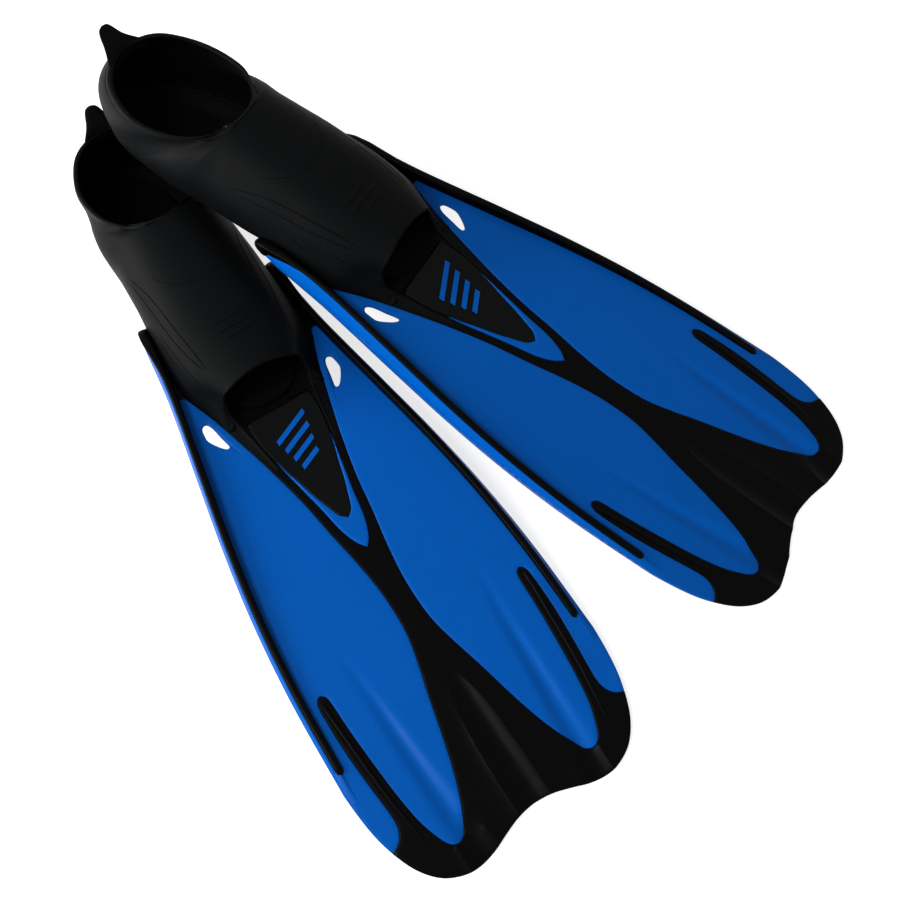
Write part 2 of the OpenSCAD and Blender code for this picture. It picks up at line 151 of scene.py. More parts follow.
def otherSide(mesh):  # the same shape on the fin's left half
    points, faces = mesh
    return np.array(points) * [-1, 1, 1], [list(face)[::-1] for face in faces]


def spaced(line, longest):  # an open line in even steps
    line = np.array(line, float)
    return resampled(line, max(2, math.ceil(runOf(line)[-1] / longest) + 1))


# A moulded plate with rounded rims; the creases are lines that its triangles keep to
def plateMesh(outline, holes, shape, topAt, bottomAt, creases=()):
    loops = [evenLoop(turnedLeft(outline), shape["spacing"])]
    loops += [evenLoop(turnedLeft(hole)[::-1], shape["spacing"]) for hole in holes]
    points = [np.concatenate(loops)]
    edges, start = [], 0
    for loop in loops:
        edges += [(start + i, start + (i + 1) % len(loop)) for i in range(len(loop))]
        start += len(loop)
    for share in (0.15, 0.5, 1.0):  # rows of points across the rounded rim
        for loop in loops:
            step = np.roll(loop, -1, 0) - np.roll(loop, 1, 0)
            inwards = np.stack([-step[:, 1], step[:, 0]], 1)
            inwards /= np.maximum(np.linalg.norm(inwards, axis=1), 1e-9)[:, None]
            row = loop + inwards * share * shape["rim"]
            points.append(row[edgeDistance(row, loops) > 0.93 * share * shape["rim"]])
    for crease in creases:
        row = spaced(crease, shape["spacing"] * 0.6)
        row = row[inside(row, loops[0]) & (edgeDistance(row, loops) > 0.25)]
        first = sum(len(part) for part in points)
        edges += [(first + i, first + i + 1) for i in range(len(row) - 1)]
        points.append(row)
        for away in (0.5, -0.5):
            step = stepsOf(row)
            beside = row + away * np.stack([-step[:, 1], step[:, 0]], 1)
            beside = beside[inside(beside, loops[0])]
            points.append(beside[edgeDistance(beside, loops) > 0.4])
    low, high = loops[0].min(0), loops[0].max(0)
    across = np.arange(low[0], high[0], shape["spacing"])
    rows = np.arange(low[1], high[1], shape["spacing"] * 0.866)
    grid = np.array([(x + (j % 2) * shape["spacing"] / 2, y) for j, y in enumerate(rows)
                     for x in across])
    grid = grid[inside(grid, loops[0])]
    grid = grid[edgeDistance(grid, loops) > shape["rim"] + 0.35 * shape["spacing"]]
    for crease in creases:
        folded = [np.concatenate([crease, crease[-2:0:-1]])]
        grid = grid[edgeDistance(grid, folded) > 0.4 * shape["spacing"]]
    flat = np.concatenate(points + [grid])
    made = delaunay_2d_cdt([Vector(p) for p in flat], edges, [], 0, 1e-5)
    flat = np.array([tuple(v) for v in made[0]])
    faces = np.array([f for f in made[2] if len(f) == 3])
    middle = flat[faces].mean(1)
    kept = inside(middle, loops[0])
    for loop in loops[1:]:
        kept &= ~inside(middle, loop)
    faces = faces[kept]
    used = np.unique(faces)
    flat, faces = flat[used], np.searchsorted(used, faces)
    a, b, c = flat[faces[:, 0]], flat[faces[:, 1]], flat[faces[:, 2]]
    turned = (b - a)[:, 0] * (c - a)[:, 1] - (b - a)[:, 1] * (c - a)[:, 0] < 0
    faces[turned] = faces[turned][:, ::-1]
    depth = np.minimum(edgeDistance(flat, loops), shape["rim"])
    drop = shape["rim"] - np.sqrt(np.maximum(shape["rim"] ** 2 - (shape["rim"] - depth) ** 2, 0))
    x, y = flat.T
    top = np.column_stack([flat, topAt(x, y) - drop])
    bottom = np.column_stack([flat, bottomAt(x, y) + drop])
    directed = {(int(f[i]), int(f[(i + 1) % 3])) for f in faces for i in range(3)}
    count = len(flat)
    walls = [[a + count, b + count, b, a] for a, b in directed if (b, a) not in directed]
    return (np.concatenate([top, bottom]),
            faces.tolist() + (faces[:, ::-1] + count).tolist() + sorted(walls))


def sweepMesh(sections):  # a closed solid through sections with equally many points each
    sections = np.array(sections, float)
    rows, n = sections.shape[:2]
    faces = [[j * n + i, j * n + (i + 1) % n, (j + 1) * n + (i + 1) % n, (j + 1) * n + i]
             for j in range(rows - 1) for i in range(n)]
    faces += [list(range(n))[::-1], [(rows - 1) * n + i for i in range(n)]]
    points = sections.reshape(-1, 3)
    a, b, c = (points[[face[k] for face in faces]] - points[0] for k in range(3))
    if (a * np.cross(b, c)).sum() < 0:  # faces look outwards
        faces = [face[::-1] for face in faces]
    return points, faces


def tubeMesh(line, radii, sides=8, flat=1, normals=None):  # a closed rod with a taper
    line = np.array(line, float)
    step = stepsOf(line)
    up = np.array(normals) if normals is not None else np.tile([0, 0, 1.0], (len(line), 1))
    side = np.cross(step, up)
    side /= np.linalg.norm(side, axis=1)[:, None]
    up = np.cross(side, step)
    a = np.arange(sides) * 2 * math.pi / sides
    rings = [p + r * (np.outer(np.cos(a), s) + flat * np.outer(np.sin(a), u))
             for p, r, s, u in zip(line, radii, side, up)]
    return sweepMesh(rings)


def cutBy(mesh, cutter):  # the first mesh with the second one taken away
    objects = []
    for points, faces in (mesh, cutter):
        data = bpy.data.meshes.new("cut")
        data.from_pydata([tuple(p) for p in points], [], [list(map(int, f)) for f in faces])
        shape = bpy.data.objects.new("cut", data)
        bpy.context.scene.collection.objects.link(shape)
        objects.append(shape)
    cut = objects[0].modifiers.new("cut", "BOOLEAN")
    cut.solver, cut.object = "EXACT", objects[1]
    made = objects[0].evaluated_get(bpy.context.evaluated_depsgraph_get()).to_mesh()
    points = np.array([tuple(v.co) for v in made.vertices])
    faces = [list(face.vertices) for face in made.polygons]
    for shape in objects:
        data = shape.data
        bpy.data.objects.remove(shape)
        bpy.data.meshes.remove(data)
    return points, faces


pocket = {"wall": 3, "floor": 3.5, "soleLength": 254, "soleAngle": 9, "ballHalf": 48,
          "heelHalf": 39.5, "heelHeight": 67, "toeTop": 38, "instepTop": 45,
          "instepLength": 132.5, "toeY": -122, "toeZ": -5.5, "archY": -143, "belly": 0.62,
          "roundTop": 0.85, "roundFloor": 0.62, "roundRim": 0.98, "lipTurn": 60, "dip": 11,
          "columns": 200, "steps": 8, "legTop": 84, "legBase": 115, "evenRounds": 25,
          "evenLegRows": 20, "touch": 0.02}
# Rings up to the foot opening, as shares of the instep's length, the sole's and the ball's width
shellRings = [(0, 0, 0.80), (0.1, 0.08, 0.88), (0.24, 0.18, 0.955), (0.38, 0.283, 0.995),
              (0.52, 0.38, 0.995), (0.66, 0.476, 1), (0.8, 0.567, 0.985), (0.94, 0.66, 0.97)]
# Rings round the heel: distance before the sole's end, height, share of the heel's width
heelRings = [(62, 0, 1.165), (44, 0, 1.145), (28, 0, 1.12), (14, 0, 1.09), (3, 0.3, 1.06),
             (-7, 3, 1.035), (-14, 10, 1.01), (-18.8, 20, 1), (-20.8, 31.5, 1),
             (-20.3, 43.5, 1), (-16.8, 55.5, 0.99), (-10, 67, 0.975)]
soleTurn = math.radians(pocket["soleAngle"])
soleBack = np.array([-math.cos(soleTurn), -math.sin(soleTurn)])
toeEdge = np.array([pocket["toeY"], pocket["toeZ"]])
heelEnd = toeEdge + pocket["soleLength"] * soleBack
lipPoint = np.array([pocket["archY"] - pocket["instepLength"],
                     pocket["instepTop"] - pocket["wall"] / 2])


def unit(v):
    v = np.asarray(v, float)
    return v / np.linalg.norm(v)


def heelPoint(out, up):
    rise = out * math.sin(soleTurn) if out > 0 else 0
    return heelEnd + [out * math.cos(soleTurn), up * pocket["heelHeight"] / 67 + rise]


def ringPoints(top, bottom, half, low, topK, floorK, dip):
    d = np.array(bottom) - top
    normal = unit([d[1], -d[0]])
    t = np.radians(np.arange(pocket["columns"]) * 360 / pocket["columns"])
    c, s = np.cos(t), np.sin(t)
    c[np.abs(c) < 1e-9] = 0
    s[np.abs(s) < 1e-9] = 0
    k = np.where(c >= 0, topK, floorK)
    share = np.where(c >= 0, low * (1 - np.abs(c) ** k), low + (1 - low) * np.abs(c) ** k)
    yz = top + share[:, None] * d + dip * (s * s)[:, None] * normal
    return np.column_stack([half * np.sign(s) * np.abs(s) ** k, yz])


def shellRing(ring, skin):  # skin is 0 outside and 1 inside
    p = pocket
    top = np.array([p["archY"] - ring[0] * p["instepLength"],
                    p["toeTop"] + (p["instepTop"] - p["toeTop"])
                    * math.sin(math.radians(90 * ring[0]))])
    bottom = toeEdge + ring[1] * p["soleLength"] * soleBack
    d = unit(bottom - top)
    topK = 1 - (1 - p["roundTop"]) * min(1, ring[0] / 0.3)
    return ringPoints(top + skin * p["wall"] * d, bottom - skin * p["floor"] * d,
                      ring[2] * p["ballHalf"] - skin * p["wall"], p["belly"], topK,
                      p["roundFloor"], 0)


def heelRing(i, skin):
    p, (out, up, wide), last = pocket, heelRings[i], len(heelRings) - 1
    share = i / last
    turn = math.radians(p["lipTurn"] * (i + 0.6) / (last + 0.6))
    side = 1 if skin == 0 else -1
    top = lipPoint + p["wall"] / 2 * np.array([-math.sin(turn), side * math.cos(turn)])
    bottom = heelPoint(out, up)
    thick = p["floor"] + (p["wall"] - p["floor"]) * share
    return ringPoints(top, bottom - skin * thick * unit(bottom - top),
                      wide * p["heelHalf"] - skin * p["wall"], p["belly"] - 0.1 * share,
                      p["roundTop"] + (p["roundRim"] - p["roundTop"]) * share,
                      min(p["roundFloor"] + 0.62 * share, p["roundRim"]),
                      -p["dip"] * share * share)


def skinRows(skin, steps):
    return smoothLine([shellRing(ring, skin) for ring in shellRings]
                      + [heelRing(i, skin) for i in range(len(heelRings))], steps)


def rounded(first, last, bulge):  # rows that round the rim between two skins
    middle, half = (first + last) / 2, (first - last) / 2
    size = np.linalg.norm(half, axis=1)[:, None]
    return [middle + half * math.cos(a) + bulge * size * math.sin(a)
            for a in (math.pi / 4, math.pi / 2, 3 * math.pi / 4)]


# Ridges beside the toe opening, as (across, along, up) from the toe box to the arms of the V
toeLegs = {"crestOut": [(33.0, -132.8, 7.8), (31.9, -128.2, 4.4), (31.0, -123.8, 3.2),
                        (29.8, -117.4, 2.8), (28.3, -109.3, 2.6), (26.7, -99.7, 2.4),
                        (25.2, -90.3, 2.1), (23.6, -80.6, 1.8)],
           "crestIn": [(31.4, -132.4, 6.6), (30.3, -127.8, 3.8), (29.5, -123.4, 2.8),
                       (28.4, -117, 2.4), (27.0, -108.8, 2.3), (25.6, -99.2, 2.1),
                       (24.2, -89.8, 1.9), (22.9, -80.3, 1.6)],
           "baseOut": [(39.6, -124.3, 1.2), (39.0, -122.3, 1.2), (38.2, -119.6, 1.2),
                       (36.6, -113.6, 1.2), (34.3, -106, 1.2), (31.9, -97, 1.2),
                       (29.3, -87.5, 1.2), (27.0, -78.5, 1.2)],
           "footIn": [(31.2, -127.6, 1), (30.1, -125.4, 1), (29.2, -122, 1),
                      (28.0, -115.8, 1), (26.6, -107.8, 1), (25.3, -98.4, 1),
                      (23.9, -89.2, 1), (22.7, -80, 1)]}
# The sides of the toe opening stand further back and further in than its top and its sole
toeSides = {"back": 6.5, "in": 4.8, "from": -166, "full": -131}
# The flanks run out over the blade to this line, and fade behind the rails
flank = {"line": [(-250, 47.5), (-226, 49.4), (-212, 50.6), (-192, 52.6), (-178, 54),
                  (-163, 52.6), (-149, 47.8), (-137, 43.1), (-123, 39.4)],
         "top": 18, "sheet": 1.5, "under": -7, "power": 1.8, "from": -268, "full": -224}
rim = {"bead": 0.55, "beadWide": 3.2, "groove": 0.5, "grooveWide": 2.2}


def flared(rows):  # the outer skin with its flanks drawn out to the blade
    x, y, z = rows[..., 0], rows[..., 1], rows[..., 2]
    over = np.clip((flank["top"] - z) / (flank["top"] - flank["sheet"]), 0, 1)
    share = over ** flank["power"] * ramp(z, flank["under"], -2)
    share = share * ramp(np.abs(x) / np.abs(x).max(1)[:, None], 0.72, 0.96)
    share = share * ramp(y, flank["from"], flank["full"])
    wide = np.abs(x) + share * np.maximum(along(y, flank["line"]) - np.abs(x), 0)
    return np.stack([np.sign(x) * wide, y, z], 2)


def tucked(rows):
    x, y, z = rows[..., 0], rows[..., 1], rows[..., 2]
    share = ramp(y, toeSides["from"], toeSides["full"]) * ramp(np.abs(x), 14, 31)
    share = share * ramp(z, 0.5, 11) * (1 - ramp(z, 17, 36))
    return np.stack([x - np.sign(x) * share * toeSides["in"], y - share * toeSides["back"],
                     z], 2)


# How the heel's rim leans: single values are amounts and heights over the sole, pairs are the
# distances across or behind the origin over which a part of it sets in or fades
heelLean = {"forward": 3.6, "low": 24, "high": 64, "back": (322, 366), "out": 2.8, "up": 3.4,
            "across": (6, 30), "sides": (272, 306), "lip": 2.4, "lipIn": (225, 262),
            "lipOut": (288, 325)}


def leaned(rows):  # the rim of the heel leans in over the foot
    y, z = rows[..., 1], rows[..., 2]
    rise = (y - heelEnd[0]) * -soleBack[1] + (z - heelEnd[1]) * -soleBack[0]
    top = ramp(rise, heelLean["low"], heelLean["high"])
    share = top * ramp(-y, *heelLean["back"])
    side = top * ramp(np.abs(rows[..., 0]), *heelLean["across"]) * ramp(-y, *heelLean["sides"])
    lip = top * ramp(-y, *heelLean["lipIn"]) * (1 - ramp(-y, *heelLean["lipOut"]))
    forward = heelLean["forward"] * share + heelLean["lip"] * lip
    return rows + np.stack([np.sign(rows[..., 0]) * heelLean["out"] * side, forward,
                            heelLean["up"] * side], -1)


def rowNormals(rows):
    down = np.gradient(rows, axis=0)
    side = np.roll(rows, -1, 1) - np.roll(rows, 1, 1)
    n = np.cross(side, down)
    n /= np.maximum(np.linalg.norm(n, axis=2), 1e-9)[..., None]
    middle = rows.mean(1)[:, None]
    return n * np.sign(((rows - middle) * n).sum(2).mean())


def beaded(rows):  # a rolled bead along the foot opening, with a fine groove under it
    step = np.linalg.norm(np.diff(rows, axis=0), axis=2)
    run = np.concatenate([np.cumsum(step[::-1], 0)[::-1], np.zeros((1, rows.shape[1]))])
    bead = np.cos(np.clip(run / rim["beadWide"], 0, 1) * math.pi / 2) ** 0.6
    off = (run - rim["beadWide"] - rim["grooveWide"] / 2) / rim["grooveWide"]
    lift = rim["bead"] * bead - rim["groove"] * np.cos(np.clip(off, -0.5, 0.5) * math.pi)
    lift[run > rim["beadWide"] + rim["grooveWide"]] = 0
    return rows + rowNormals(rows) * lift[..., None]


# Lines on the shell, as (row, degrees from the top), and what they are
shellLines = {"longInner": [(6.25, 61), (5.1, 49.5), (4.2, 45.5), (3.0, 42), (2.1, 41), (1.3, 43)],
              "longOuter": [(6.1, 65), (5.1, 59), (3.4, 54), (2.2, 50), (1.45, 47)],
              "shortInner": [(3.7, 66.5), (2.7, 65.2), (1.75, 65), (0.9, 69.2)],
              "shortOuter": [(3.5, 70), (2.9, 76), (1.8, 73.2), (0.9, 74)],
              "instep": [(5.45, 34), (5.0, 28), (4.5, 17), (4.28, 2.5)]}
groove = {"half": 0.55, "faint": 0.3}
gripRows = {"rows": [1.72, 2.08, 2.44], "reach": [11, 14, 11], "half": 1.5, "high": 0.42}
welt = {"line": [(13.45, 180), (13.4, 166), (13.2, 151), (12.6, 139), (11.6, 130), (10.2, 124),
                 (9.0, 120.5), (8.0, 118.5), (7.0, 118), (6.2, 118)], "half": 1.15}
drain = {"across": 24.1, "back": 185.9, "half": 4, "reach": (-14, -5, 5, 14)}


def onRows(rows, path, steps=10):  # points and normals of a skin along (row, degrees)
    n = pocket["columns"]
    normals = rowNormals(rows)
    path = smoothLine(path, steps)
    r, c = path[:, 0] * pocket["steps"], path[:, 1] * n / 360
    i, j = np.floor(r).astype(int), np.floor(c).astype(int)
    u, v = (r - i)[:, None], (c - j)[:, None]

    def blendOf(grid):
        a, b = grid[i, j % n], grid[i, (j + 1) % n]
        e, f = grid[i + 1, j % n], grid[i + 1, (j + 1) % n]
        return (a * (1 - v) + b * v) * (1 - u) + (e * (1 - v) + f * v) * u
    return blendOf(rows), blendOf(normals)


def tapered(count, half, ends=6):
    at = np.arange(count)
    return half * np.clip((np.minimum(at, count - 1 - at) + 1) / ends, 0.2, 1) ** 0.5


def shellCutters(rows):  # the grooves in the shell and the drain holes in its sole
    cutters = []
    for name, path in shellLines.items():
        line, normals = onRows(rows, path)
        half = groove["faint"] if name == "instep" else groove["half"]
        rod = tubeMesh(line, tapered(len(line), half), 8, 1, normals)
        cutters += [rod, otherSide(rod)]
    middle = toeEdge + drain["back"] * soleBack
    upwards = np.array([soleBack[1], -soleBack[0]])
    y, z = np.array([middle + upwards * reach for reach in drain["reach"]]).T
    hole = tubeMesh(np.column_stack([np.full(4, drain["across"]), y, z]), [drain["half"]] * 4, 32,
                    1, np.tile([1.0, 0, 0], (4, 1)))
    return join(*cutters, hole, otherSide(hole))


def shellRaised(rows, inner):  # plain grip bars on the instep, and the welt inside the heel
    raised = []
    for row, reach in zip(gripRows["rows"], gripRows["reach"]):
        path = [(row, degrees) for degrees in np.linspace(-reach, reach, 5)]
        line, normals = onRows(rows, path, 4)
        raised.append(tubeMesh(line, tapered(len(line), gripRows["half"], 3), 12,
                               gripRows["high"], normals))
    line, normals = onRows(inner, welt["line"], 6)
    rod = tubeMesh(line, tapered(len(line), welt["half"], 5)[::-1], 8, 0.8, normals)
    return join(*raised, rod, otherSide(rod))


def evened(points, faces, chosen, rounds):  # the chosen points drawn towards their neighbours
    near = {i: set() for i in chosen}
    for face in faces:
        for a, b in zip(face, face[1:] + face[:1]):
            if a in near:
                near[a].add(b)
            if b in near:
                near[b].add(a)
    rows = [(i, sorted(group)) for i, group in near.items()]
    for _ in range(rounds):
        moved = [points[group].mean(0) for i, group in rows]
        points[[i for i, group in rows]] = moved
    return points


def pocketMesh():
    n = pocket["columns"]
    outer, inner = skinRows(0, pocket["steps"]), skinRows(1, pocket["steps"])[::2]
    plain, lining = tucked(leaned(flared(outer))), leaned(skinRows(1, pocket["steps"]))
    close = smoothLine(outer[-pocket["steps"] - 1:], 3)
    outer = np.concatenate([outer[:-pocket["steps"] - 1], close])
    outer = tucked(leaned(beaded(flared(outer))))
    inner = tucked(leaned(inner))
    rise = outer[-1] - outer[-3]
    lip = rounded(outer[-1], inner[-1], rise / np.linalg.norm(rise, axis=1)[:, None])
    d = unit(outer[0][n // 2] - outer[0][0])
    front = np.array([0, -d[2], d[1]])
    arch = rounded(inner[0], outer[0], front)
    rows = list(outer) + lip + list(inner[::-1]) + arch
    m = len(rows)
    points = np.concatenate(rows)
    legColumns = range(round(pocket["legTop"] * n / 360), round(pocket["legBase"] * n / 360))
    skipped = set(legColumns) | {n - 1 - i for i in legColumns}
    innerStart = len(outer) + len(lip) + len(inner) - 1
    faces = []
    for j in range(m):
        for i in range(n):
            if j >= innerStart and i in skipped:
                continue
            k, up = (i + 1) % n, (j + 1) % m
            faces.append([j * n + i, up * n + i, up * n + k, j * n + k])
    first, last = legColumns[0], legColumns[-1] + 1
    loop = list(range(first, last + 1))
    loop += [(m - 1 - j) * n + last for j in range(3)]
    loop += [innerStart * n + i for i in range(last, first - 1, -1)]
    loop += [(innerStart + 1 + j) * n + first for j in range(3)]
    start = points[loop]
    width = last - first
    corners = {"crestOut": 0, "baseOut": width, "footIn": width + 4, "crestIn": 2 * width + 4}
    lines = {name: smoothLine([start[at]] + toeLegs[name], 6) for name, at in corners.items()}
    count = len(lines["crestOut"])
    base = len(points)
    extra = []
    for k in range(1, count):
        a, b = lines["crestOut"], lines["baseOut"]
        c, e = lines["footIn"], lines["crestIn"]
        outShare = (start[:width + 1] - a[0]) / (b[0] - a[0])
        outSide = a[k] + outShare * (b[k] - a[k])
        inShare = (start[width + 4:2 * width + 5] - c[0]) / (e[0] - c[0])
        inSide = c[k] + inShare * (e[k] - c[k])
        under = [b[k] + (c[k] - b[k]) * s for s in (0.25, 0.5, 0.75)]
        high = unit(a[k] - b[k]) * np.linalg.norm(a[k] - e[k]) * 0.5
        over = [(a[k] + e[k]) / 2 + (e[k] - a[k]) / 2 * math.cos(s) + high * math.sin(s)
                for s in (math.pi / 4, math.pi / 2, 3 * math.pi / 4)]
        extra += [outSide, np.array(under), inSide, np.array(over)]
    extra = np.concatenate(extra)
    size = len(loop)
    legFaces = []
    for k in range(count - 1):
        here = loop if k == 0 else [base + (k - 1) * size + i for i in range(size)]
        there = [base + k * size + i for i in range(size)]
        for i in range(size):
            o = (i + 1) % size
            legFaces.append([here[i], here[o], there[o], there[i]])
    legFaces.append([base + (count - 2) * size + i for i in range(size)])
    otherLoop = [j // n * n + (n - j % n) % n for j in loop]
    move = {here: there for here, there in zip(loop, otherLoop)}
    otherFaces = [[move[i] if i < base else i + len(extra) for i in face][::-1]
                  for face in legFaces]
    points = np.concatenate([points, extra, extra * [-1, 1, 1]])
    faces = faces + legFaces + otherFaces
    blended = [j * n + i for j in range(pocket["steps"] + 3) for i in range(first + 1, last)]
    blended += [base + k * size + i for k in range(pocket["evenLegRows"])
                for i in range(1, width)]
    blended += [move.get(i, i + len(extra)) if i >= base or i in move
                else i // n * n + (n - i % n) % n for i in blended]
    points = evened(points, faces, blended, pocket["evenRounds"])
    shell = cutBy((points, faces), shellCutters(plain))
    rimLine = (outer[-1] + inner[-1]) / 2
    nearest = KDTree(inner[:-1].size // 3)
    for at, p in enumerate(inner[:-1].reshape(-1, 3)):
        nearest.insert(p, at)
    nearest.balance()
    hidden = {at for at, p in enumerate(shell[0]) if nearest.find(p)[2] < pocket["touch"]}
    # The faces on the inner skin get a darker, rougher rubber: its dark tone is painted shade for
    # the inside of the pocket
    shadeLined = [at for at, face in enumerate(shell[1]) if hidden.issuperset(face)]
    return join(shell, shellRaised(plain, lining)), rimLine, shadeLined


hingeY = 10
tabRoot = {"thick": 4, "gap": 0.6, "lean": 18, "rimFrom": -340, "straighten": 0.7,
           "curved": -1, "straight": 13, "corner": 0.8, "columns": 40}
rimEnd = heelPoint(*heelRings[-1][:2])
rimSlope = unit(lipPoint - rimEnd)
rimUp = np.array([-rimSlope[1], rimSlope[0]])
tabPin = rimEnd + [pocket["wall"] / 2, 0] + (tabRoot["thick"] / 2 + tabRoot["gap"]) * rimUp


def finFrame(side):  # from a fin's own frame, in millimetres, to the model's, in metres
    hinge, pin = joints[side + "_blade_flex"], joints[side + "_tab_flex"]
    across = Vector(hinge["axis"]).normalized()
    back = (Vector(pin["pos_m"]) - Vector(hinge["pos_m"])).normalized()
    normal = across.cross(back)
    y, z = unit([tabPin[0] - hingeY, tabPin[1]])
    forward, up = back * y - normal * z, back * z + normal * y
    turn = Matrix((across, forward, up)).transposed().to_4x4() @ Matrix.Scale(mm, 4)
    return Matrix.Translation(Vector(hinge["pos_m"]) - forward * hingeY * mm) @ turn


fins = {side: finFrame(side) for side in ("right", "left")}


def makePiece(side, name, mesh, material, sharp=40):
    points, faces = mesh
    used = sorted({i for face in faces for i in face})
    place = {old: new for new, old in enumerate(used)}
    data = bpy.data.meshes.new(side + "_" + name)
    data.from_pydata([tuple(p) for p in points[used]], [], [[place[i] for i in f] for f in faces])
    data.transform(fins[side])
    data.validate()
    data.shade_smooth()
    data.set_sharp_from_angle(angle=math.radians(sharp))
    data.materials.append(material)
    piece = bpy.data.objects.new(data.name, data)
    bpy.context.scene.collection.objects.link(piece)
    return piece


def bendPiece(piece):
    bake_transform(piece)


# Outlines of the blade's right half
sheetTop = 1.5
cornerY, capEndY, sideY, rootY = -163, 118, 175.3, -226
cornerX, wallInset = 56.5, 5.4
tipY, notch = 211.5, 12

edge = smoothLine([
    (0, tipY - notch), (13, tipY - notch * 0.88), (27, tipY - notch * 0.5),
    (38, tipY - notch * 0.16), (50, tipY), (62, 209.5), (74, 203), (84, 191), (91, sideY),
    (95.6, 158), (98.3, 135), (98.5, capEndY), (97, 60), (92.5, 5), (85, -48), (75, -103),
    (64, cornerY), (58.8, -205), (56, rootY)])
panelIn = smoothLine([
    (52.5, cornerY), (43, -137), (34, -105), (27.5, -80), (21, -50), (16.5, -20), (12.2, 5),
    (9.4, 28), (8.8, 48), (10, 66), (14, 85), (20, 108), (26.5, 135), (33, 158), (39.5, 175),
    (45.6, 187), (48.4, 190.8), (52, 192.6)])
petalOut = smoothLine([
    (52, 192.6), (56.2, 191.6), (59.8, 187.6), (63, 180.6), (67, 168), (70, 150), (72.5, 125),
    (74.5, 98), (75.3, 76), (76.4, 70.5), (79.5, 68), (82.6, 70.5), (83.9, 78), (83.8, 104),
    (82, 130), (80.2, 148), (79.6, 158), (80.2, 164), (82.6, 169.4), (86.2, 173)])
ventHole = closedLoop(smoothLine([
    (52.6, -136.6), (50.4, -137.4), (48.4, -135.9), (46.7, -131.6), (45.3, -123.5),
    (43.6, -115.6), (44.0, -113.3), (46.3, -113.5), (50.1, -117.9), (54, -124.9),
    (54.3, -129.6), (53.6, -134.6), (52.6, -136.6)], 5))
vOut = smoothLine([(21.7, -86), (20, -75), (17, -60), (13, -40), (9.5, -20), (5, -7), (0, 0)])
vIn = smoothLine([(21.7, -86), (19, -75), (16, -65), (12, -50), (8.6, -40), (5, -30), (0, -25)])
panelSide = np.array([(25, pocket["toeY"]), (25.4, -110), (24.3, -98)], float)
pocketSide = np.array([
    (36, -123.7), (40.5, -134), (44.5, -149), (47.2, -163), (49, -185), (49, -208),
    (48.4, rootY)], float)
railRise = [(rootY, 2.5), (-218, 6), (-205, 9), (-180, 10), (-140, 10), (-100, 9.8), (-50, 8.8),
            (0, 7.5), (50, 6), (90, 4.8), (capEndY, 3.8), (140, 2.7), (165, 1.7), (sideY, 1.5)]


def behind(line, y):
    return line[line[:, 1] <= y + 0.001]


def ahead(line, y):
    return line[line[:, 1] >= y - 0.001]


# Hollow flutes that run out through the tail: one in the middle and one under each petal
middleFlute = {"half": [(101, 0), (102.5, 2.4), (106, 4.6), (112, 6.8), (120, 8.6),
                        (135, 10.6), (150, 11.7), (172, 12.4), (200, 12.2)],
               "deep": [(101, 0), (112, 0.9), (124, 1.6), (150, 2.3), (200, 2.3)],
               "ridge": [(101, 0), (112, 0.5), (124, 0.9), (150, 1.3), (200, 1.2)],
               "fade": 4.5}
sideFlute = {"line": [(60, 54), (90, 51.5), (120, 50.3), (150, 48.6), (176, 47), (195, 45),
                      (212, 43)],
             "half": [(50, 2.5), (80, 4.5), (105, 6), (132, 7), (150, 8), (175, 9.4), (195, 10.8),
                      (212, 12.5)],
             "deep": [(45, 0), (80, 0.8), (110, 1.6), (150, 2.2), (206, 2.3)],
             "ridge": [(182, 0), (196, 0.7), (206, 0.8)], "fade": 4}


def fluteLine(flute, low, high, side):  # one edge of a flute
    y = np.linspace(low, high, 30)
    x = (along(y, flute["line"]) if "line" in flute else 0 * y) + side * along(y, flute["half"])
    return np.column_stack([x, y])


def crispHollow(x, y, flute):
    middle = along(y, flute["line"]) if "line" in flute else 0
    half = np.maximum(along(y, flute["half"]), 0.01)
    away = np.abs(np.abs(x) - middle)
    ridge, deep = along(y, flute["ridge"]), along(y, flute["deep"])
    within = ridge - (ridge + deep) * (1 - np.clip(away / half, 0, 1) ** 2)
    beyond = ridge * np.exp(-np.maximum(away - half, 0) / flute["fade"])
    return np.where(away < half, within, beyond)


def softHollow(x, y, flute):
    u = (np.abs(x) - along(y, flute["line"])) / along(y, flute["half"])
    lean = np.where(u > 0, np.clip(1 - u, 0, 1), np.clip(1 + u, 0, 1))
    return along(y, flute["deep"]) * ramp(lean, -0.1, 1)


# The bevelled trough that runs from a vent towards the middle of the fin
ventTrough = {"near": (46.2, -135.5), "far": (44.0, -113.2), "end": (37.4, -100.5), "deep": 1.15}


def lineGap(x, y, start, end):
    step = np.array(end) - start
    return ((np.abs(x) - start[0]) * step[1] - (y - start[1]) * step[0]) / np.hypot(*step)


def ventHollow(x, y):
    v = ventTrough
    fromMiddle = lineGap(x, y, v["near"], v["end"])
    fromEdge = -lineGap(x, y, v["far"], v["end"])
    shape = np.minimum(fromMiddle * 0.55, np.maximum(fromEdge, 0) * 0.55)
    return np.clip(shape, 0, v["deep"]) * ramp(y, -140, -132)


def blueTop(x, y):
    return sheetTop - softHollow(x, y, sideFlute) - ventHollow(x, y)


def blackTop(x, y):
    side = np.where(y > 176, crispHollow(x, y, sideFlute), 0)
    side = np.where(y > 192, side, -softHollow(x, y, sideFlute) * ramp(y, 176, 190))
    return sheetTop + 0.5 * ramp(y, 60, 110) + crispHollow(x, y, middleFlute) + side


def flatAt(z):
    return lambda x, y: np.full(len(x), float(z))


print("Outlines drawn")


def srgb(r, g, b):
    return tuple((c / 255 / 12.92 if c < 11 else ((c / 255 + 0.055) / 1.055) ** 2.4)
                 for c in (r, g, b))


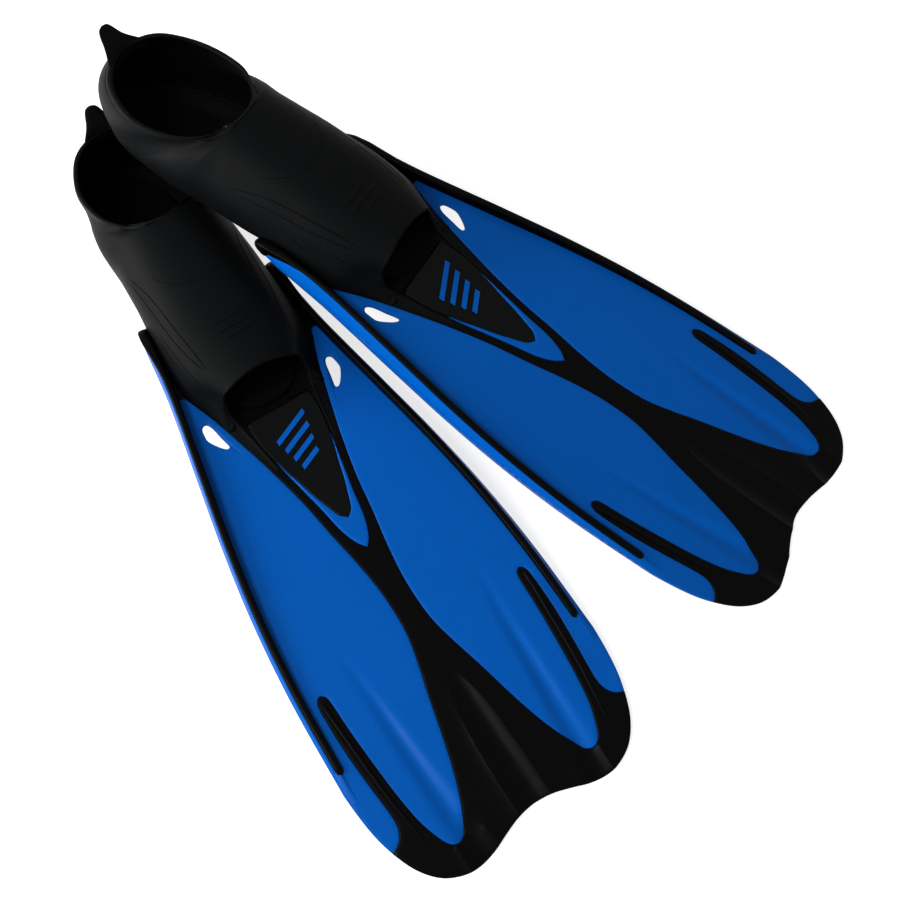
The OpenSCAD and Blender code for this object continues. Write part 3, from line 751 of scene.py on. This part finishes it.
def newGroup(name, inputs, outputs):
    group = bpy.data.node_groups.new(name, "ShaderNodeTree")
    for label, kind, value in inputs:
        socket = group.interface.new_socket(label, in_out="INPUT", socket_type=kind)
        socket.default_value = value
    for label, kind in outputs:
        group.interface.new_socket(label, in_out="OUTPUT", socket_type=kind)
    nodes = group.nodes
    return group, nodes.new("NodeGroupInput"), nodes.new("NodeGroupOutput")


def wire(tree, start, end):
    tree.links.new(start, end)


def mathNode(tree, operation, first, second=None, clamp=False):
    node = tree.nodes.new("ShaderNodeMath")
    node.operation = operation
    node.use_clamp = clamp
    for socket, value in zip(node.inputs, (first, second)):
        if isinstance(value, (int, float)):
            socket.default_value = value
        elif value is not None:
            wire(tree, value, socket)
    return node.outputs[0]


def noiseNode(tree, scale, detail, place, roughness=0.5):
    node = tree.nodes.new("ShaderNodeTexNoise")
    node.inputs["Detail"].default_value = detail
    node.inputs["Roughness"].default_value = roughness
    if isinstance(scale, (int, float)):
        node.inputs["Scale"].default_value = scale
    else:
        wire(tree, scale, node.inputs["Scale"])
    wire(tree, place, node.inputs["Vector"])
    return node.outputs["Fac"]


def mixColor(tree, share, first, second):
    node = tree.nodes.new("ShaderNodeMix")
    node.data_type = "RGBA"
    for socket, value in ((node.inputs[0], share), (node.inputs[6], first),
                          (node.inputs[7], second)):
        if isinstance(value, (int, float, tuple)):
            socket.default_value = value if not isinstance(value, tuple) else (*value[:3], 1)
        else:
            wire(tree, value, socket)
    return node.outputs[2]


def buildMouldedGrain():  # fine spark-eroded grain of a mould, as height and shade
    group, given, result = newGroup(
        "mouldedGrain",
        [("Grain Scale", "NodeSocketFloat", 1500.0), ("Patch Scale", "NodeSocketFloat", 30.0)],
        [("Height", "NodeSocketFloat"), ("Shade", "NodeSocketFloat")])
    place = group.nodes.new("ShaderNodeTexCoord").outputs["Object"]
    grain = noiseNode(group, given.outputs["Grain Scale"], 3, place, 0.6)
    patch = noiseNode(group, given.outputs["Patch Scale"], 2, place)
    wire(group, grain, result.inputs["Height"])
    wire(group, mathNode(group, "MULTIPLY", grain, patch), result.inputs["Shade"])
    return group


def buildDustFilm():  # a thin film of dust on what faces up
    group, given, result = newGroup(
        "dustFilm",
        [("Amount", "NodeSocketFloat", 0.1), ("Cover Scale", "NodeSocketFloat", 40.0)],
        [("Mask", "NodeSocketFloat")])
    place = group.nodes.new("ShaderNodeTexCoord").outputs["Object"]
    facing = group.nodes.new("ShaderNodeNewGeometry").outputs["Normal"]
    split = group.nodes.new("ShaderNodeSeparateXYZ")
    wire(group, facing, split.inputs[0])
    up = mathNode(group, "MAXIMUM", split.outputs["Z"], 0.0)
    patchy = noiseNode(group, given.outputs["Cover Scale"], 5, place, 0.6)
    spread = mathNode(group, "MULTIPLY", up, patchy)
    wire(group, mathNode(group, "MULTIPLY", spread, given.outputs["Amount"]),
         result.inputs["Mask"])
    return group


def buildHandlingMarks():  # faint rubbed patches that change the gloss
    group, given, result = newGroup(
        "handlingMarks",
        [("Mark Scale", "NodeSocketFloat", 18.0), ("Smooth", "NodeSocketFloat", 0.25),
         ("Rubbed", "NodeSocketFloat", 0.4)],
        [("Roughness", "NodeSocketFloat")])
    place = group.nodes.new("ShaderNodeTexCoord").outputs["Object"]
    marks = noiseNode(group, given.outputs["Mark Scale"], 4, place, 0.55)
    spread = mathNode(group, "SUBTRACT", given.outputs["Rubbed"], given.outputs["Smooth"])
    gain = mathNode(group, "MULTIPLY", spread, marks)
    wire(group, mathNode(group, "ADD", given.outputs["Smooth"], gain),
         result.inputs["Roughness"])
    return group


mouldedGrain = buildMouldedGrain()
dustFilm = buildDustFilm()
handlingMarks = buildHandlingMarks()


def groupNode(tree, group, values):
    node = tree.nodes.new("ShaderNodeGroup")
    node.node_tree = group
    for label, value in values.items():
        node.inputs[label].default_value = value
    return node


def seenDirectly(tree):  # 1 for what the camera, a reflection or clear plastic sees
    path = tree.nodes.new("ShaderNodeLightPath")
    seen = mathNode(tree, "MAXIMUM", path.outputs["Is Camera Ray"],
                    path.outputs["Is Glossy Ray"])
    return mathNode(tree, "MAXIMUM", seen, path.outputs["Is Transmission Ray"])


def mouldedFinish(name, look):
    material = bpy.data.materials.new(name)
    material.use_nodes = True
    tree = material.node_tree
    shader = tree.nodes["Principled BSDF"]
    grain = groupNode(tree, mouldedGrain,
                      {"Grain Scale": look["grain"], "Patch Scale": look["patches"]})
    film = groupNode(tree, dustFilm, {"Amount": look["dust"]})
    marks = groupNode(tree, handlingMarks, {"Smooth": look["smooth"], "Rubbed": look["rubbed"]})
    body = mixColor(tree, grain.outputs["Shade"], look["color"], look["deep"])
    dusty = mixColor(tree, film.outputs["Mask"], body, look["dustColor"])
    wire(tree, dusty, shader.inputs["Base Color"])
    wire(tree, marks.outputs["Roughness"], shader.inputs["Roughness"])
    bump = tree.nodes.new("ShaderNodeBump")
    bump.inputs["Strength"].default_value = look["bump"]
    bump.inputs["Distance"].default_value = look["bumpDepth"]
    wire(tree, grain.outputs["Height"], bump.inputs["Height"])
    wire(tree, bump.outputs["Normal"], shader.inputs["Normal"])
    shader.inputs["Specular IOR Level"].default_value = look["specular"]
    shader.inputs["Coat Weight"].default_value = 0
    shader.inputs["Coat Roughness"].default_value = 0.1
    return material


finishes = {
    "bladeBlue": {"color": srgb(0, 84, 172), "deep": srgb(0, 75, 160), "grain": 900,
                  "patches": 9, "dust": 0.01, "dustColor": (0.1, 0.2, 0.3), "smooth": 0.24,
                  "rubbed": 0.34, "bump": 0.06, "bumpDepth": 0.0003, "specular": 0.05},
    "pocketRubber": {"color": srgb(5, 6, 7), "deep": srgb(3, 4, 5), "grain": 1600,
                     "patches": 25, "dust": 0.009, "dustColor": (0.05, 0.05, 0.05),
                     "smooth": 0.48, "rubbed": 0.6, "bump": 0.35, "bumpDepth": 0.0004,
                     "specular": 0.038},
    "trimBlack": {"color": srgb(3, 3, 4), "deep": srgb(2, 2, 3), "grain": 1300,
                  "patches": 20, "dust": 0.008, "dustColor": (0.04, 0.04, 0.04),
                  "smooth": 0.25, "rubbed": 0.34, "bump": 0.15, "bumpDepth": 0.0003,
                  "specular": 0.034},
    "panelBlack": {"color": srgb(4, 5, 6), "deep": srgb(2, 2, 3), "grain": 1100,
                   "patches": 15, "dust": 0.006, "dustColor": (0.04, 0.04, 0.04),
                   "smooth": 0.16, "rubbed": 0.26, "bump": 0.05, "bumpDepth": 0.0002,
                   "specular": 0.06},
    # A darker, rougher rubber for the footbed and the pocket's inner skin: its grain and roughness
    # are the rubber's own, its darker tone is painted shade for the inside of the pocket
    "paintedShadeRubber": {"color": srgb(4, 4, 5), "deep": srgb(2, 2, 3), "grain": 700,
                      "patches": 30, "dust": 0.01, "dustColor": (0.04, 0.04, 0.04),
                      "smooth": 0.6, "rubbed": 0.75, "bump": 0.5, "bumpDepth": 0.0005,
                      "specular": 0.04},
    "solePlastic": {"color": srgb(16, 17, 19), "deep": srgb(10, 11, 12), "grain": 1200,
                    "patches": 20, "dust": 0.02, "dustColor": (0.06, 0.06, 0.06),
                    "smooth": 0.34, "rubbed": 0.52, "bump": 0.2, "bumpDepth": 0.0003,
                    "specular": 0.15}}
materials = {name: mouldedFinish(name, look) for name, look in finishes.items()}
print("Finishes mixed")


def bladeMesh():
    outline = closedLoop(np.concatenate([
        ahead(behind(edge, sideY), cornerY), [(cornerX, cornerY)], panelIn,
        petalOut]))
    shape = {"spacing": 3.2, "rim": 0.7}
    v = ventTrough
    trough = [spaced([v["near"], v["end"]], 1.5), spaced([v["far"], v["end"]], 1.5)]
    half = plateMesh(outline, [ventHole], shape, blueTop, flatAt(-sheetTop), trough)
    return join(half, otherSide(half))


def blackSheetMesh():
    back = behind(edge, cornerY) - [wallInset, 0]
    half = np.concatenate([
        [(0, pocket["toeY"] - 1.5), (30, pocket["toeY"] - 1.5)], pocketSide - [2, 0],
        back[::-1],
        panelIn, petalOut, ahead(edge, sideY)[::-1]])
    hole = np.concatenate([[(0, pocket["toeY"])], panelSide, vOut])
    shape = {"spacing": 3.2, "rim": 0.8}
    edges = fluteLine(middleFlute, 101.2, 199.4, 1)
    apex = np.array([[0, 101]])
    creases = [np.concatenate([(edges * [-1, 1])[::-1], apex, edges])]
    creases += [fluteLine(sideFlute, 196, 209, side) * [flip, 1]
                for side in (1, -1) for flip in (1, -1)]
    sheet = plateMesh(bothHalves(half), [bothHalves(hole)], shape, blackTop,
                      flatAt(-sheetTop), creases)
    rib = armRibMesh()
    return join(sheet, rib, otherSide(rib))


# The raised rib on each black arm between a petal and the rim
armRib = {"line": [(80.6, 72.5), (80.4, 83), (79.2, 99), (78, 118), (76.6, 135), (74.8, 152),
                   (72.6, 168), (70.3, 183)],
          "half": [(72.5, 1.2), (80, 1.9), (120, 1.8), (160, 1.6), (183, 0.9)],
          "high": [(72.5, 0.9), (80, 1.6), (150, 1.5), (183, 0.35)]}


def armRibMesh():
    line = spaced(smoothLine(armRib["line"]), 2.0)
    step = stepsOf(line)
    sections = []
    for i, ((x, y), (dx, dy)) in enumerate(zip(line, step)):
        end = math.sqrt(max(1 - (1 - min(i, len(line) - 1 - i, 3) / 3) ** 2, 0.05))
        half = along(y, armRib["half"]) * end
        high = along(y, armRib["high"]) * end
        base = float(blackTop(np.array([x]), np.array([y]))[0]) - 0.5
        profile = [(-1, 0), (-0.86, 0.62), (-0.5, 0.93), (0, 1), (0.5, 0.93), (0.86, 0.62), (1, 0)]
        sections.append([(x + u * half * dy, y - u * half * dx, base + w * (0.5 + high))
                         for u, w in profile])
    return sweepMesh(sections)


def railLine(low, high, step=3.0):  # points along the edge of the blade, tail to root
    line = edge[(edge[:, 1] <= high + 0.001) & (edge[:, 1] >= low - 0.001) & (edge[:, 0] > 50)]
    return resampled(line, int(runOf(line)[-1] / step))


def railSections(line, profileAt):
    step = stepsOf(line)
    inwards = np.stack([step[:, 1], -step[:, 0]], 1)
    if inwards[len(line) // 2, 0] > 0:
        inwards = -inwards
    return [np.column_stack([p + w * np.array(profileAt(p[1]))[:, :1],
                             np.array(profileAt(p[1]))[:, 1]])
            for p, w in zip(line, inwards)]


def wallProfile(y):  # the blue wall, as (inwards, up)
    h = along(y, railRise)
    top = max(h - 1.4, 1.0)
    shoulder = min(2.4, 0.35 * h + 0.6)
    return [(1.0, -h), (0.3, -h + 0.8), (0, -0.4 * h), (0, 0.4), (0.25 * shoulder, 0.35 * top),
            (0.7 * shoulder, 0.8 * top), (shoulder, top), (wallInset, top), (wallInset, -1.2),
            (3.0, -1.4), (2.6, -h)]


def capProfile(y, wide, h, end):  # the black cap on it, which wraps round the root end
    wrap, under = along(y, capWrap["out"]), along(y, capWrap["under"])
    out, low = 3.0 * (1 - wrap) - 0.45 * wrap, 1.1 * (1 - under) - (h + 0.35) * under
    mid = (out + wide) / 2
    half = (wide - out) / 2 * end
    top = low + (h - low) * end
    low = min(low, top - 0.05)
    return [(mid - half, low), (mid - half, top - 0.9 * end), (mid - half + 0.25 * end,
            top - 0.35 * end), (mid - half + 0.9 * end, top), (mid, top + 0.15 * end),
            (mid + half - 1.0 * end, top - 0.05), (mid + half - 0.3 * end, top - 0.4 * end),
            (mid + half, top - 1.0 * end), (mid + half, low)]


def railWallMesh():
    half = sweepMesh(railSections(railLine(rootY, 168), wallProfile))
    return join(half, otherSide(half))


capWrap = {"out": [(rootY + 9, 1), (rootY + 15, 0.82), (rootY + 28, 0.42), (rootY + 46, 0)],
           "under": [(rootY + 6.5, 1), (rootY + 9.5, 0.8), (rootY + 12.5, 0)], "past": 2.2,
           "round": 4.5, "least": 2.2}
capWidth = [(rootY, 6.8), (-212, 7.1), (-192, 6.9), (cornerY, 7.5), (-103, 7.7), (0, 7.7),
            (85, 8.0), (capEndY, 8.1)]


def railCapMesh():
    def profile(y):
        fromEnd = min(capEndY - y, y - rootY + capWrap["past"])
        end = math.sqrt(max(1 - (1 - min(fromEnd / capWrap["round"], 1)) ** 2, 0.0025))
        h = max(along(y, railRise), capWrap["least"])
        return capProfile(y, along(y, capWidth), h, end)
    line = railLine(rootY, capEndY, 2.0)
    past = (line[-1] - line[-2]) / np.linalg.norm(line[-1] - line[-2]) * capWrap["past"]
    line = np.concatenate([line, [line[-1] + past * share for share in (0.35, 0.7, 0.9, 1)]])
    half = sweepMesh(railSections(line, profile))
    return join(half, otherSide(half))


accentTop = 2.4


def accentMesh():
    ring = np.concatenate([vOut, (vOut * [-1, 1])[::-1], vIn * [-1, 1], vIn[::-1]])
    shape = {"spacing": 2.2, "rim": 0.9}
    return plateMesh(closedLoop(ring), [], shape, flatAt(accentTop + 0.3), flatAt(-1.4))


def panelMesh():
    outline = bothHalves(np.concatenate([[(0, pocket["toeY"])], panelSide, vIn]))
    shape = {"spacing": 2.6, "rim": 0.6}

    def top(x, y):
        return accentTop - 0.5 * (1 - np.clip(np.abs(x) / 24, 0, 1) ** 2) * ramp(y, -30, -60)
    return plateMesh(outline, [], shape, top, flatAt(-1.4))


# The tab's sections: height, half its width, half its thickness, how far back
heelTab = [(-8, 19.5, 1.35, -3.4), (-4.5, 19, 1.5, -3.4), (-1.5, 17.2, 1.75, -3.2),
           (1, 14.2, 1.95, -2.4), (3.4, 11.2, 2.05, -1.3), (6, 8.8, 2.0, 0.2),
           (8.8, 7.2, 1.85, 1.8), (11.2, 5.8, 1.65, 2.9), (12.9, 4.2, 1.3, 3.6),
           (13.8, 1.6, 0.7, 3.9)]


def heelTabMesh(rimLine):
    lean = math.radians(tabRoot["lean"])
    upward = np.array([-math.sin(lean), math.cos(lean)])
    back = rimLine[rimLine[:, 1] < tabRoot["rimFrom"]]
    back = back[np.argsort(back[:, 0])]
    a = np.arange(tabRoot["columns"]) * 2 * math.pi / tabRoot["columns"]
    sections = []
    for h, half, thick, backward in smoothLine(heelTab, 4):
        middle = tabPin + upward * h - np.array([backward, 0])
        s, c = np.sin(a), np.cos(a)
        x = half * np.sign(c) * np.abs(c) ** tabRoot["corner"]
        straight = float(ramp(h, tabRoot["curved"], tabRoot["straight"]))
        follow = 1 - tabRoot["straighten"] * straight
        y = np.interp(x, back[:, 0], back[:, 1]) - np.interp(0, back[:, 0], back[:, 1])
        z = np.interp(x, back[:, 0], back[:, 2]) - np.interp(0, back[:, 0], back[:, 2])
        swell = thick * np.sign(s) * np.abs(s) ** tabRoot["corner"]
        sections.append(np.column_stack([x, middle[0] + swell + follow * y,
                                         middle[1] + follow * z]))
    return sweepMesh(sections)


pocketShape, pocketRim, pocketShadeLining = pocketMesh()
fixed = {"pocket": (pocketShape, "pocketRubber", "pocket_rubber", ["foot_pocket"], 50),
         "toePanel": (panelMesh(), "panelBlack", "panel_plastic", ["toe_panel"], 40)}
bending = {"blade": (bladeMesh(), "bladeBlue", "blade_plastic", ["blade_root", "blade_tip"]),
           "railWalls": (railWallMesh(), "bladeBlue", "blade_plastic",
                         ["blade_root", "blade_tip"]),
           "blackSheet": (blackSheetMesh(), "trimBlack", "trim_rubber", ["saddle", "tail"]),
           "railCaps": (railCapMesh(), "trimBlack", "trim_rubber",
                        ["rail_cap_root", "rail_cap_tip"]),
           "accent": (accentMesh(), "bladeBlue", "accent_plastic", ["v_accent"])}
tabShape = heelTabMesh(pocketRim)
for side in fins:
    for name, (mesh, material, slot, nodes, sharp) in fixed.items():
        piece = makePiece(side, name, mesh, materials[material], sharp)
        if name == "pocket":
            # The inner skin takes the darker rubber, as painted shade inside the pocket
            piece.data.materials.append(materials["paintedShadeRubber"])
            for at in pocketShadeLining:
                piece.data.polygons[at].material_index = 1
        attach(piece, side + "_boot")
        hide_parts(*[side + "_" + node for node in nodes])
    for name, (mesh, material, slot, nodes) in bending.items():
        piece = makePiece(side, name, mesh, materials[material])
        bendPiece(piece)
        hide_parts(*[side + "_" + node for node in nodes])
    tab = makePiece(side, "heelTab", tabShape, materials["pocketRubber"], 60)
    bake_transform(tab)
    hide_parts(side + "_heel_tab")
    # The footbed takes the darker rubber too, as painted shade inside the pocket
    for node, material in (("footbed", "paintedShadeRubber"), ("sole_plate", "solePlastic"),
                           ("toe_bars", "bladeBlue")):
        kept = frame["nodes"][side + "_" + node]
        for place in kept.material_slots:
            place.material = materials[material]
    print("Dressed the", side, "fin")


floorLook = {"half": 6, "drop": 0.0005, "shade": 0.62, "glow": 0.75}


def buildFloor():
    data = bpy.data.meshes.new("floor")
    half = floorLook["half"]
    corners = [(x * half, y * half, 0) for x, y in ((-1, -1), (1, -1), (1, 1), (-1, 1))]
    data.from_pydata(corners, [], [[0, 1, 2, 3]])
    data.transform(Matrix.Translation((0, 0, -floorLook["drop"])))
    floor = bpy.data.objects.new("floor", data)
    bpy.context.scene.collection.objects.link(floor)
    material = bpy.data.materials.new("paleFloor")
    material.use_nodes = True
    tree = material.node_tree
    tree.nodes.clear()
    out = tree.nodes.new("ShaderNodeOutputMaterial")
    add = tree.nodes.new("ShaderNodeAddShader")
    matte = tree.nodes.new("ShaderNodeBsdfDiffuse")
    matte.inputs["Color"].default_value = (*[floorLook["shade"]] * 3, 1)
    glow = tree.nodes.new("ShaderNodeEmission")
    wire(tree, mathNode(tree, "MULTIPLY", seenDirectly(tree), floorLook["glow"]),
         glow.inputs["Strength"])
    wire(tree, matte.outputs[0], add.inputs[0])
    wire(tree, glow.outputs[0], add.inputs[1])
    wire(tree, add.outputs[0], out.inputs["Surface"])
    data.materials.append(material)


# Lamps as (metres to the right of the middle, up and forward in the picture), size and power
studio = {"fill": 0.32, "aim": (0, 0, 0.05),
          "keyLamp": {"at": (-1.58, 0.06, -0.6), "size": 0.9, "power": 36},
          "topLamp": {"at": (-0.72, -0.04, -1.53), "size": 0.6, "power": 14}}
camera = {"place": (0.21557, 0.26161, 0.68872), "ahead": (-0.2917, -0.2615, -0.9201),
          "up": (-0.6607, -0.6405, 0.3915), "lens": 40.709}


def buildWorld():
    world = bpy.data.worlds.new("studio")
    bpy.context.scene.world = world
    world.use_nodes = True
    tree = world.node_tree
    back = tree.nodes["Background"]
    spread = mathNode(tree, "MULTIPLY", seenDirectly(tree), 1 - studio["fill"])
    wire(tree, mathNode(tree, "ADD", spread, studio["fill"]), back.inputs["Strength"])
    back.inputs["Color"].default_value = (1, 1, 1, 1)


def softLamp(name, place, size, power):
    data = bpy.data.lights.new(name, "AREA")
    data.shape = "SQUARE"
    data.size = size
    data.energy = power
    lamp = bpy.data.objects.new(name, data)
    lamp.location = place
    turn = (Vector(studio["aim"]) - Vector(place)).to_track_quat("-Z", "Y")
    lamp.rotation_euler = turn.to_euler()
    bpy.context.scene.collection.objects.link(lamp)


def buildCamera():
    forward = Vector(camera["ahead"]).normalized()
    up = Vector(camera["up"])
    up = (up - forward * up.dot(forward)).normalized()
    right = forward.cross(up)
    data = bpy.data.cameras.new("camera")
    data.sensor_width = 36
    data.lens = camera["lens"]
    eye = bpy.data.objects.new("camera", data)
    turn = Matrix((right, up, -forward)).transposed().to_4x4()
    eye.matrix_world = Matrix.Translation(camera["place"]) @ turn
    bpy.context.scene.collection.objects.link(eye)
    bpy.context.scene.camera = eye
    return right, up, forward


buildFloor()
buildWorld()
right, up, forward = buildCamera()
for name in ("keyLamp", "topLamp"):
    lamp = studio[name]
    x, y, z = lamp["at"]
    softLamp(name, tuple(right * x + up * y + forward * z), lamp["size"], lamp["power"])
bpy.context.scene.view_settings.view_transform = "Standard"
print("Studio set")
